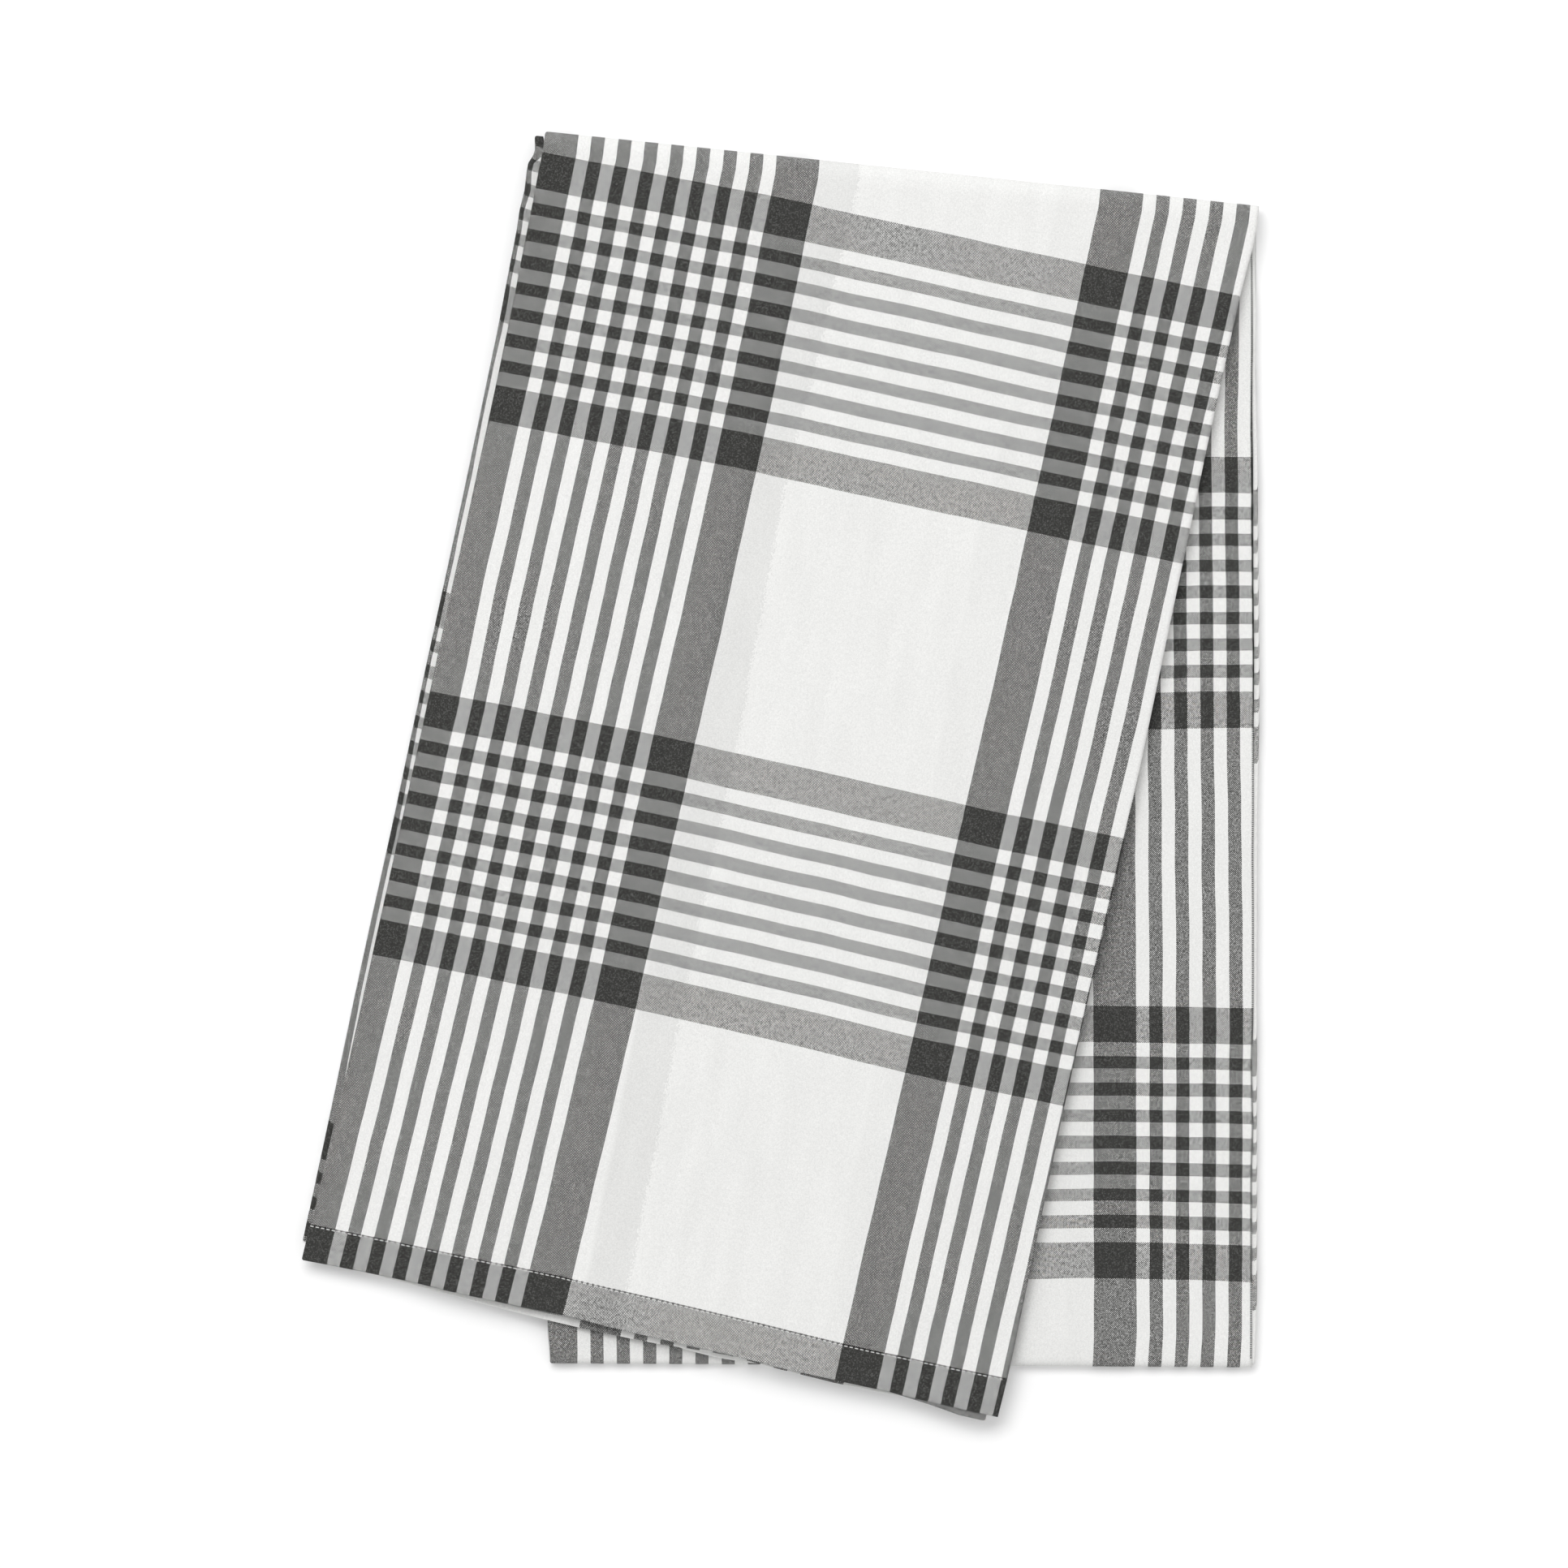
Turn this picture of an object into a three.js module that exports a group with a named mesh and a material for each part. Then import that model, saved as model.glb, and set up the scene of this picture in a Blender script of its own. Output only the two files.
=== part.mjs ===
import * as THREE from 'three';

// A checked tablecloth of 1.45 by 2.5 m. It is folded back and forth into a strip of four layers,
// the strip is doubled crosswise, and the far end is folded over on a slightly slanted line.
// Millimetres, +X right, +Y towards the slanted fold, +Z up. The cloth lies on Z = 0.

const cloth = { thickness: 1.0, pitch: 1.3, layers: 4 };

// Edges of the strip of layers, in X, where the lower half lies straight.
const strip = { left: -119.5, right: 244.7 };

// The crosswise fold at the near end: Y of its axis.
const crosswise = { y: -299.0 };

// The slanted fold-over at the far end: a point on its outermost edge and its slope.
const foldOver = { x: -118.4, y: 331.7, slope: -0.1038 };

// The first hem lies on top: its two corners, and how far its sides bow to the right.
const hem = { left: [-245.9, -249.4], right: [112.7, -329.5], bow: 1.1 };

// The folded-over half bends down outside the lower half: where its slope starts, how wide the slope
// is past the lower half's side and past its end, and the share of its length over which it sets in.
const drape = { start: 8, side: 60, end: 110, fade: 0.1 };

// Sideways shift in mm of each long edge of the layers from the strip's edges, + to the right.
// Q is the outer layer with the first side edge, then come three folds and the other side edge.
const edges = [
  { at: 'sideQ', base: strip.right, hem1: 0.0, over1: 0.0, cross: -1.8, over2: -1.8, hem2: -4.0 },
  { at: 'foldLeft1', base: strip.left, hem1: 0.0, over1: 0.0, cross: 0.0, over2: -5.2, hem2: -3.0 },
  { at: 'foldRight', base: strip.right, hem1: -7.1, over1: -2.2, cross: 0.9, over2: 0.9, hem2: -4.6 },
  { at: 'foldLeft2', base: strip.left, hem1: 1.8, over1: -1.4, cross: 1.2, over2: -2.4, hem2: -1.2 },
  { at: 'sideEnd', base: strip.right, hem1: -3.4, over1: -2.8, cross: -3.2, over2: -3.0, hem2: -5.4 },
];

// How far each layer's hem passes the top layer's hem line: at its left side, middle and right side.
const hemPast = {
  first: [[0.0, 0.0, 0.0], [0.3, 0.8, 2.2], [0.4, 1.2, 1.4], [-0.6, 0.6, -1.2]],
  second: [[-8.6, 1.8, -4.0], [-9.0, 3.4, -5.0], [-7.8, 3.6, -5.6], [-8.2, 1.0, -6.4]],
};

// Stations across a layer, in X from the strip's left edge; finer where the upper half bends down.
const across = [5, 24, 44, 66, 88, 110, 140, 185, 240, 295, 338];
const arcSteps = 3;

// Stations along the folded-over half, as fractions from the fold-over to the hem.
const along = [0.06, 0.15, 0.27, 0.39, 0.51, 0.63, 0.75, 0.87, 0.975];
const overSteps = 6;
const crossSteps = 4;

// Folds are rounded squares: the exponent of the superellipse that their layers follow.
const foldPower = 2.3;

const half = cloth.thickness / 2;
const crossZ = half + (cloth.layers - 0.5) * cloth.pitch;
const overZ = half + (2 * cloth.layers - 0.5) * cloth.pitch;
const overRadius = overZ;

const slantLength = Math.hypot(1, foldOver.slope);
const outward = [-foldOver.slope / slantLength, 1 / slantLength];

const smooth = (t) => { const c = Math.min(1, Math.max(0, t)); return c * c * (3 - 2 * c); };
const mix = (a, b, t) => a + (b - a) * t;
const rounded = (v) => Math.sign(v) * Math.abs(v) ** (2 / foldPower);

// Y of the fold-over's axis at X.
function axisY(x) {
  const onEdge = foldOver.y + (x - foldOver.x) * foldOver.slope;
  return onEdge - overRadius * slantLength;
}

// Plan position in the folded-over half: t runs from the axis (0) to the hem (1), past it by extra mm.
function upperPlan(x, t, extra = 0) {
  const w = (x - strip.left) / (strip.right - strip.left);
  const start = [x, axisY(x)];
  const end = [mix(hem.left[0], hem.right[0], w), mix(hem.left[1], hem.right[1], w)];
  const length = Math.hypot(end[0] - start[0], end[1] - start[1]);
  const s = t + extra / length;
  return [mix(start[0], end[0], s) + hem.bow * 4 * s * (1 - s), mix(start[1], end[1], s)];
}

// How far the folded-over half has sunk at a place in plan, from 0 to the lower half's full height.
function sink(x, y, t) {
  const side = smooth((strip.left - drape.start - x) / drape.side);
  const end = smooth((crosswise.y - crossZ - drape.start - y) / drape.end);
  const full = 2 * cloth.layers * cloth.pitch;
  return full * (1 - (1 - side) * (1 - end)) * smooth(t / drape.fade);
}

// The rows of the cloth run from the first hem to the second. place(x, z) takes a point of the strip of
// four layers, z above the floor, to where it lies after the crosswise fold and the fold-over. In the
// second half the strip lies upside down on the first.
const overAngles = Array.from({ length: overSteps + 1 }, (_, k) => Math.PI * k / overSteps);
const crossAngles = Array.from({ length: crossSteps + 1 }, (_, k) => Math.PI * k / crossSteps);

function upperRow(t, second) {
  return {
    knots: second ? ['over2', 'hem2', t] : ['over1', 'hem1', t],
    past: t === 1 ? (second ? hemPast.second : hemPast.first) : null,
    heading: second ? 1 : -1,
    place(x, z, extra) {
      const [px, py] = upperPlan(x, t, extra);
      const top = 2 * overZ - (second ? 2 * crossZ - z : z);
      return [px, py, top - sink(px, py, t)];
    },
  };
}

function overRow(angle, second) {
  return {
    knots: second ? ['over2', 'hem2', 0] : ['over1', 'hem1', 0],
    heading: second ? 1 : -1,
    place(x, z) {
      const r = overZ - (second ? 2 * crossZ - z : z);
      const out = r * rounded(Math.sin(angle));
      return [x + outward[0] * out, axisY(x) + outward[1] * out, overZ - r * rounded(Math.cos(angle))];
    },
  };
}

function crossRow(angle) {
  return {
    knots: ['cross', 'over2', 0],
    heading: 1,
    place(x, z) {
      const r = crossZ - z;
      return [x, crosswise.y - r * rounded(Math.sin(angle)), crossZ - r * rounded(Math.cos(angle))];
    },
  };
}

const rows = [
  ...[1, ...along.toReversed()].map((t) => upperRow(t, false)),
  ...overAngles.toReversed().map((a) => overRow(a, false)),
  ...crossAngles.map((a) => crossRow(a)),
  ...overAngles.map((a) => overRow(a, true)),
  ...[...along, 1].map((t) => upperRow(t, true)),
];

// Across a row: the layers to and fro with a half circle between them. Each station has its place
// x, its height z above the floor and the direction nx, nz that the cloth's first face looks to.
function section(row) {
  const [from, to, t] = row.knots;
  const edge = edges.map((e) => e.base + mix(e[from], e[to], t));
  const bend = cloth.pitch / 2;
  const stations = [];
  for (let layer = 0; layer < cloth.layers; layer++) {
    const leftward = layer % 2 === 0;
    const z = half + layer * cloth.pitch;
    const nz = leftward ? -1 : 1;
    const inner = across.map((a) => strip.left + a);
    if (leftward) inner.reverse();
    const startX = layer === 0 ? edge[0] : edge[layer] + (leftward ? -bend : bend);
    const endX = layer === cloth.layers - 1 ? edge[layer + 1] : edge[layer + 1] + (leftward ? bend : -bend);
    for (const x of [startX, ...inner, endX]) stations.push({ x, z, nx: 0, nz, layer });
    if (layer === cloth.layers - 1) break;
    for (let k = 1; k < arcSteps; k++) {
      const a = Math.PI * (k / arcSteps - 0.5);
      const out = (leftward ? -1 : 1) * Math.cos(a);
      stations.push({
        x: endX + bend * out,
        z: z + bend + bend * Math.sin(a),
        nx: leftward ? out : -out,
        nz: (leftward ? 1 : -1) * Math.sin(a),
        layer: layer + k / arcSteps,
      });
    }
  }
  return stations;
}

// The hem's extra length at a station: a parabola through the left, middle and right values.
function past(table, station) {
  const w = (station.x - strip.left) / (strip.right - strip.left);
  const value = ([l, m, r]) => l * (1 - w) * (1 - 2 * w) + 4 * m * w * (1 - w) + r * w * (2 * w - 1);
  const low = Math.floor(station.layer);
  const high = Math.min(low + 1, cloth.layers - 1);
  return mix(value(table[low]), value(table[high]), station.layer - low);
}

// One closed sheet: both faces of every station of every row, the two side edges and the two hems.
const sections = rows.map(section);
const count = sections[0].length;
const points = [];
for (const side of [1, -1]) {
  rows.forEach((row, k) => {
    for (const s of sections[k]) {
      const extra = row.past ? past(row.past, s) : 0;
      points.push(...row.place(s.x + side * half * s.nx, s.z + side * half * s.nz, extra));
    }
  });
}

const face = (k, j) => k * count + j;
const back = (k, j) => rows.length * count + face(k, j);
const triangles = [];
const quad = (a, b, c, d, fromA) => {
  if (fromA) triangles.push(a, b, c, a, c, d);
  else triangles.push(a, b, d, b, c, d);
};

for (let k = 0; k + 1 < rows.length; k++) {
  for (let j = 0; j + 1 < count; j++) {
    const rightward = sections[k][j + 1].x > sections[k][j].x;
    const fromA = rightward === (rows[k + 1].heading > 0);
    quad(face(k, j), face(k + 1, j), face(k + 1, j + 1), face(k, j + 1), fromA);
    quad(back(k, j), back(k, j + 1), back(k + 1, j + 1), back(k + 1, j), fromA);
  }
  quad(face(k + 1, 0), face(k, 0), back(k, 0), back(k + 1, 0), true);
  quad(face(k, count - 1), face(k + 1, count - 1), back(k + 1, count - 1), back(k, count - 1), true);
}
for (let j = 0; j + 1 < count; j++) {
  const last = rows.length - 1;
  quad(face(0, j), face(0, j + 1), back(0, j + 1), back(0, j), true);
  quad(face(last, j + 1), face(last, j), back(last, j), back(last, j + 1), true);
}

const sheet = new THREE.BufferGeometry();
sheet.setAttribute('position', new THREE.Float32BufferAttribute(points, 3));
sheet.setIndex(triangles);

// The origin is at the middle of the cloth's outline, on the surface that it lies on.
sheet.computeBoundingBox();
const middle = sheet.boundingBox.getCenter(new THREE.Vector3());
sheet.translate(-middle.x, -middle.y, 0);
sheet.computeVertexNormals();

const tablecloth = new THREE.Mesh(
  sheet,
  new THREE.MeshStandardMaterial({ name: 'wovenCotton', color: 0xc9c9c6, roughness: 0.9, metalness: 0 }),
);
tablecloth.name = 'tablecloth';

const group = new THREE.Group();
group.add(tablecloth);

export default group;
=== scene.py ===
import math

import bpy
import numpy as np
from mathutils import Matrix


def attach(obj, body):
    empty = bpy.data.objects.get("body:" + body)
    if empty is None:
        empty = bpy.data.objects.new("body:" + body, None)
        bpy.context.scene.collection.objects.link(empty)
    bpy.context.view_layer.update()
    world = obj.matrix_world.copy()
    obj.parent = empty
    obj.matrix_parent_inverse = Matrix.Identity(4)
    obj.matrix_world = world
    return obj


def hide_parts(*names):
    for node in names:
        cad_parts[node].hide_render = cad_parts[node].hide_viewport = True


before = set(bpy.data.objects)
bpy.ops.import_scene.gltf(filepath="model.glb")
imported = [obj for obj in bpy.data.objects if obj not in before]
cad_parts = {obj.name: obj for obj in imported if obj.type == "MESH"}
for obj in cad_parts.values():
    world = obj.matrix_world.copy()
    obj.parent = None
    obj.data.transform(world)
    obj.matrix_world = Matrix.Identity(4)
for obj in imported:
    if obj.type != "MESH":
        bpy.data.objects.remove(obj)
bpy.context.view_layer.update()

scene = bpy.context.scene
mm = 0.001

# A checked tablecloth of 1.45 by 2.5 m. It is folded back and forth into a strip of four layers, the
# strip is doubled crosswise, and the far end is folded over on a slightly slanted line.
# Tables give millimetres in the layout's own axes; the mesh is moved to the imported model's axes.

cloth = {
    "thickness": 0.9,      # plain cloth
    "hemThickness": 1.14,  # cloth turned under twice and sewn down
    "stitchDent": 0.3,     # how much the stitch line pulls the hem together
    "pitch": 1.3,          # from one layer to the next
    "lie": 0.25,           # the lowest layer's lift, so that the hems stay on the floor
    "left": -119.5, "right": 244.7,                       # the strip's edges
    "crossX": 62.0, "crossY": -299.0, "crossSlope": -0.0058,  # axis of the crosswise fold
    "overX": -118.4, "overY": 331.7, "overSlope": -0.1038,  # outermost line of the fold-over
    "hemLeft": (-245.9, -249.4), "hemRight": (112.7, -329.5), "hemBow": 1.1,
    "drapeStart": 8.0, "drapeSide": 88.0, "drapeEnd": 110.0, "drapeFade": 0.1,
    "foldPower": 2.3,      # folds are rounded squares
    "press": 0.27, "pressOver": 130.0, "pressFold": 0.5,  # the pile is lower than its layers add up to
    "hemDepth": 18.4,      # from the hem's end to its stitch line
    "stitchWidth": 0.9, "stitchGroove": 0.7,
    "endThickness": 0.35, "nextThickness": 0.8,  # shares of it at the hem's rounded end
    "stitchAt": 18.05,     # the first hem's stitch line in the woven pattern's own measure
    "cornerPull": 1.2, "cornerFrom": 0.972,  # the left folds draw in towards the crosswise fold
    "upperLength": 620.0, "lowerLength": 600.0,   # rounded lengths of the runs
    "hemFade": 60.0,       # over this length from the hem, a layer's own hem line fades out
    "stitchFollow": 0.78,  # how far the stitch line follows the hem's own line
    "toFrame": (0.448, -0.883),
}

# Where the pile isn't pressed, or more so: where each begins, and the lengths over which it sets in.
looseHem = {"x": -120.0, "overX": 70.0, "y": -130.0, "overY": 90.0}
lowCorner = {"share": 0.4, "x": 165.0, "overX": 80.0, "y": 205.0, "overY": 100.0}

# The first hem stands a little off the lower half, less so to the right of the middle.
raisedHem = {"height": 3.4, "left": -130.0, "overLeft": 40.0, "right": 80.0, "overRight": 60.0,
             "y": -222.0, "overY": 55.0, "less": 0.3, "middle": 50.0}

# Sideways shift of each long edge from the strip's edges, + to the right, at the ends of each run.
edges = [
    {"at": "sideQ", "base": "right", "hem1": -0.7, "over1": 0.9, "cross": -1.8, "over2": -2, "hem2": -4},
    {"at": "foldLeft1", "base": "left", "hem1": -0.1, "over1": -2, "cross": 0, "over2": -6.4, "hem2": -2.1},
    {"at": "foldRight", "base": "right", "hem1": -7.1, "over1": -2.2, "cross": -0.4, "over2": -0.6, "hem2": -4.6},
    {"at": "foldLeft2", "base": "left", "hem1": 1.6, "over1": -0.8, "cross": 0.4, "over2": -0.6, "hem2": 1.6},
    {"at": "sideEnd", "base": "right", "hem1": -3.4, "over1": -2.8, "cross": -3.2, "over2": -3, "hem2": -5.4},
]

# Shapes of the edges that show, on both folded-over runs and on the second half's lower run: share of
# the way from the slanted fold to the hem or the crosswise fold, and shift from the strip's edge in mm.
edgeShapes = {
    "first": {
        "sideQ": {
            "share": [0, 0.016, 0.03, 0.046, 0.064, 0.085, 0.15, 0.19, 0.28, 0.34, 0.41, 0.48, 0.53,
                      0.58, 0.63, 0.74, 0.83, 0.945, 0.97, 1],
            "shift": [0.9, 1.1, 0.5, -0.1, -0.6, -0.8, -1.12, -1.17, -1.04, -0.97, -0.74, -0.52, -0.56,
                      -0.93, -1.52, -1.8, -1.1, -0.22, -0.28, -0.75],
        },
        "foldLeft1": {
            "share": [0, 0.018, 0.048, 0.082, 0.133, 0.218, 0.27, 0.335, 0.4, 0.47, 0.62, 0.7, 0.76, 0.84, 0.89,
                      0.96, 0.97, 1],
            "shift": [-2.0, -2.0, -1.53, -1.35, -0.74, -0.41, -0.4, -0.27, -0.44, -0.07, 0.23, 0.32, 0.54, 0.74,
                      0.52, 0.68, 0.07, -0.11],
        },
        "foldLeft2": {"share": [0, 0.2, 0.5, 0.85, 1], "shift": [-0.8, 0.8, 1.4, 2.1, 1.6]},
    },
    "second": {
        "foldLeft1": {
            "share": [0, 0.004, 0.008, 0.0126, 0.0165, 0.0195, 0.023, 0.032, 0.047, 0.056, 0.063, 0.069, 0.081,
                      0.103, 0.133, 0.155, 0.218, 0.267, 0.335, 0.47, 0.52, 0.617, 0.7, 0.765, 0.838, 0.892,
                      0.932, 0.971, 1],
            "shift": [-6.4, -6.5, -7.34, -8.53, -8.65, -8.14, -7.66, -7.35, -7.35, -7.72, -7.48, -7.08, -6.89,
                      -6.7, -6.28, -5.92, -5.62, -5.42, -5.2, -5.12, -4.94, -4.39, -4.38, -4.05, -3.37, -2.86,
                      -2.61, -2.34, -2.13],
        },
        "foldLeft2": {"share": [0, 0.2, 0.5, 0.85, 1], "shift": [-0.6, 0.9, 1.6, 2.3, 1.6]},
    },
    "lower": {
        "sideQ": {
            "share": [0, 0.013, 0.034, 0.114, 0.134, 0.174, 0.2, 0.315, 0.36, 0.396, 0.436, 0.517,
                      0.557, 0.6, 0.66, 0.7, 0.74, 0.76, 0.8, 0.83, 1],
            "shift": [-2.0, -1.8, -1.35, -1.35, -1.6, -1.5, -1.15, -0.95, -0.6, -0.55, -0.8, -0.75,
                      -1.0, -0.8, -0.8, -0.9, -1.6, -1.4, -0.9, -1.65, -1.7],
        },
        "foldRight": {
            "share": [0, 0.045, 0.074, 0.124, 0.203, 0.303, 0.41, 0.517, 0.66, 0.747, 0.861, 0.947, 0.99, 1],
            "shift": [-0.6, -0.4, 0.2, -0.3, 1.0, 1.3, 2.0, 1.0, 0.6, 0.6, 0.7, 0.6, -0.2, -0.4],
        },
    },
}

# At the slanted fold's left end the outer fold's edge sticks up past the other layers as a small tongue.
tongue = {"push": 5.2, "aside": 0.8, "from": 1.9, "width": 0.62, "slip": 5.2}

# How far each layer's hem passes the top layer's straight hem line, by share of the strip's width.
hemPast = {
    "first": [
        {"share": [0, 0.035, 0.09, 0.13, 0.167, 0.203, 0.277, 0.314, 0.373, 0.415, 0.457, 0.48, 0.521,
                   0.56, 0.628, 0.645, 0.668, 0.68, 0.75, 0.84, 0.88, 0.95, 1],
         "past": [0, -0.45, -0.9, -1.3, -1.4, -1.1, -1.35, -1.45, -2.2, -1.9, -0.75, -1.2, -1.0,
                  -0.9, -0.9, -0.5, -0.2, 0.1, 0.1, 0.0, 0.4, 0.6, 0.5]},
        {"share": [0, 0.31, 0.46, 0.48, 0.63, 0.7, 0.84, 0.87, 0.9, 0.947, 0.98, 1],
         "past": [-0.5, -1.9, -1.6, -1.9, -1.7, -0.3, 0.0, 0.9, 1.9, 4.0, 3.9, 3.6]},
        {"share": [0, 0.31, 0.46, 0.48, 0.63, 0.7, 0.84, 0.87, 0.9, 0.947, 1],
         "past": [-0.6, -2.0, -1.7, -2.0, -1.8, -0.4, -0.1, 0.7, 1.7, 3.4, 3.4]},
        {"share": [0, 0.35, 0.7, 1], "past": [-1.2, -2.6, -1.0, -2.0]},
    ],
    "second": [
        {"share": [-0.03, 0.04, 0.1, 0.48, 0.52, 0.54, 0.556, 0.575, 0.593, 0.613, 0.63, 0.645, 0.66, 1],
         "past": [-9.8, -7.5, -3.0, -1.0, 0.6, 1.4, 2.1, 2.0, 2.3, 2.6, 2.4, 1.0, -0.5, -4.0]},
        {"share": [-0.03, 0, 0.04, 0.08, 0.1, 0.15, 0.24, 0.31, 0.37, 0.42, 0.455, 0.475, 0.49, 0.521,
                   0.537, 0.556, 0.575, 0.593, 0.63, 0.75, 1],
         "past": [-9.6, -9.4, -6.0, -1.0, 0.0, 0.2, 1.5, 2.3, 2.8, 2.7, 2.5, 2.45, 2.4, 1.9,
                  1.7, 0.9, 0.8, 0.2, -0.6, -1.5, -3.0]},
        {"share": [0, 0.4, 0.595, 0.606, 0.65, 0.68, 0.7, 0.715, 0.77, 0.84, 0.9, 1],
         "past": [-3.0, -2.4, -0.9, 0.55, 0.5, 1.1, 1.2, 1.45, 1.9, 1.5, 0.0, -2.0]},
        {"share": [0, 0.5, 1], "past": [-4.0, -2.0, -5.0]},
    ],
}

# Slow waves of the long edges: height and length of each, in mm, and its start along the strip.
edgeWaves = [
    {"height": 0.22, "length": 47.0, "start": 0.3},
    {"height": 0.30, "length": 113.0, "start": 1.7},
    {"height": 0.12, "length": 23.0, "start": 4.1},
]

# Soft unevenness of the pile's top: height, lengths along X and Y, and start.
swells = [
    {"height": 0.26, "alongX": 310.0, "alongY": 740.0, "start": 0.6},
    {"height": 0.18, "alongX": -420.0, "alongY": 190.0, "start": 1.9},
    {"height": 0.10, "alongX": 96.0, "alongY": 151.0, "start": 3.0},
]

# The soft trough that runs across the plain part near the first hem.
trough = {"from": (74.0, -141.0), "to": (-58.0, -287.0), "depth": 0.5, "width": 13.0, "fade": 26.0}


def smooth(t):
    # smoothstep: 3 c^2 - 2 c^3 of t held between 0 and 1
    c = np.clip(t, 0, 1)
    return c * c * (3 - 2 * c)


def mix(a, b, t):
    return a + (b - a) * t


def rounded(v):
    # a sine or cosine raised to 2 / power with its sign kept: turns a circle into a rounded square
    return np.sign(v) * np.abs(v) ** (2 / cloth["foldPower"])


half = 0.5                                  # the lowest layer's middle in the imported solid
crossZ = half + 3.5 * cloth["pitch"]
overZ = half + 7.5 * cloth["pitch"]
slantLength = math.hypot(1, cloth["overSlope"])
outward = (-cloth["overSlope"] / slantLength, 1 / slantLength)
width = cloth["right"] - cloth["left"]
full = 8 * cloth["pitch"]


def axisY(x):
    # the fold-over's axis lies one radius inside its outermost slanted line
    return cloth["overY"] + (x - cloth["overX"]) * cloth["overSlope"] - overZ * slantLength


def crossAxis(x):
    # the crosswise fold's axis, a straight line with a very slight slope
    return cloth["crossY"] + (x - cloth["crossX"]) * cloth["crossSlope"]


def upperRun(x):
    # start on the axis, end on the hem line and straight length between them, for each x of the strip
    w = (x - cloth["left"]) / width
    endX = mix(cloth["hemLeft"][0], cloth["hemRight"][0], w)
    endY = mix(cloth["hemLeft"][1], cloth["hemRight"][1], w)
    return x, axisY(x), endX, endY, np.hypot(endX - x, endY - axisY(x))


def sink(x, y, t):
    # the folded-over half goes down by the lower half's height outside the lower half's side and end
    side = smooth((cloth["left"] - cloth["drapeStart"] - x) / cloth["drapeSide"])
    end = smooth((cloth["crossY"] - crossZ - cloth["drapeStart"] - y) / cloth["drapeEnd"])
    return full * (1 - (1 - side) * (1 - end)) * smooth(t / cloth["drapeFade"])


def pressed(x, y):
    # share of the height that the pile keeps: less by a smoothstep away from the slanted fold, all of it at
    # the hem's left end and least at the slanted fold's right end, each by a product of two smoothsteps
    fromOver = cloth["overY"] + (x - cloth["overX"]) * cloth["overSlope"] - y
    flat = mix(cloth["pressFold"], 1, smooth(fromOver / cloth["pressOver"]))
    loose = smooth((looseHem["x"] - x) / looseHem["overX"]) * smooth((looseHem["y"] - y) / looseHem["overY"])
    low = smooth((x - lowCorner["x"]) / lowCorner["overX"]) * smooth((y - lowCorner["y"]) / lowCorner["overY"])
    return (1 - cloth["press"] * flat * (1 - loose)) * (1 - lowCorner["share"] * low)


def hemRise(x, y):
    # product of smoothsteps: up from the left, down to the right, up towards the hem, and less past the middle
    up = smooth((x - raisedHem["left"]) / raisedHem["overLeft"])
    down = smooth((raisedHem["right"] - x) / raisedHem["overRight"])
    near = smooth((raisedHem["y"] - y) / raisedHem["overY"])
    less = raisedHem["less"] * smooth(x / raisedHem["middle"] + 1)
    return raisedHem["height"] * up * down * near * (1 - less)


def placeUpper(x, z, t, extra):
    # straight line from axis to hem with a sideways bow as a parabola, height mirrored in the fold-over
    startX, startY, endX, endY, length = upperRun(x)
    s = t + extra / length
    px = mix(startX, endX, s) + cloth["hemBow"] * 4 * s * (1 - s)
    py = mix(startY, endY, s)
    return px, py, 2 * overZ - z - sink(px, py, t) + hemRise(px, py)


def placeOver(x, z, angle):
    # rounded half turn about the slanted axis, radius = axis height less the layer's height
    out = (overZ - z) * rounded(np.sin(angle))
    return x + outward[0] * out, axisY(x) + outward[1] * out, overZ - (overZ - z) * rounded(np.cos(angle))


def placeLower(x, z, share):
    # straight run between the fold-over's axis (0) and the crosswise axis (1)
    return x, mix(axisY(x), crossAxis(x), share), z


def placeCross(x, z, angle):
    # rounded half turn about the crosswise axis
    r = crossZ - z
    return x, crossAxis(x) - r * rounded(np.sin(angle)), crossZ - r * rounded(np.cos(angle))


# Rows of the grid, from the first hem to the second.
hemSteps = np.array([0, 0.25, 0.8, 2.5, 6.5, 11, 15, 17.2, 18.0, 18.4, 18.8, 19.6, 22, 30])
runShare = np.concatenate([np.arange(1, 52) / 52, [0.9875, 0.9945]])
lowerSteps = 54
overSteps = 13
crossSteps = 10

upperShare = np.concatenate([np.zeros(len(hemSteps)), runShare])
upperNear = np.concatenate([hemSteps, np.full(len(runShare), hemSteps[-1])])
lowerShare = np.arange(1, lowerSteps) / lowerSteps
overAngle = np.pi * np.arange(overSteps) / (overSteps - 1)
crossAngle = np.pi * np.arange(crossSteps) / (crossSteps - 1)

runs = [
    {"kind": "upper", "turned": False, "share": upperShare, "near": upperNear, "knots": ("hem1", "over1")},
    {"kind": "over", "turned": False, "share": overAngle[::-1], "knots": ("over1", "over1")},
    {"kind": "lower", "turned": False, "share": lowerShare, "knots": ("over1", "cross")},
    {"kind": "cross", "turned": False, "share": crossAngle, "knots": ("cross", "cross")},
    {"kind": "lower", "turned": True, "share": lowerShare[::-1], "knots": ("over2", "cross")},
    {"kind": "over", "turned": True, "share": overAngle, "knots": ("over2", "over2")},
    {"kind": "upper", "turned": True, "share": upperShare[::-1], "near": upperNear[::-1],
     "knots": ("hem2", "over2")},
]
rowCount = sum(len(run["share"]) for run in runs)
hemRows = len(hemSteps)
stitchRow = int(np.argmin(np.abs(hemSteps - cloth["hemDepth"])))
crossStart = sum(len(run["share"]) for run in runs[:3])

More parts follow.
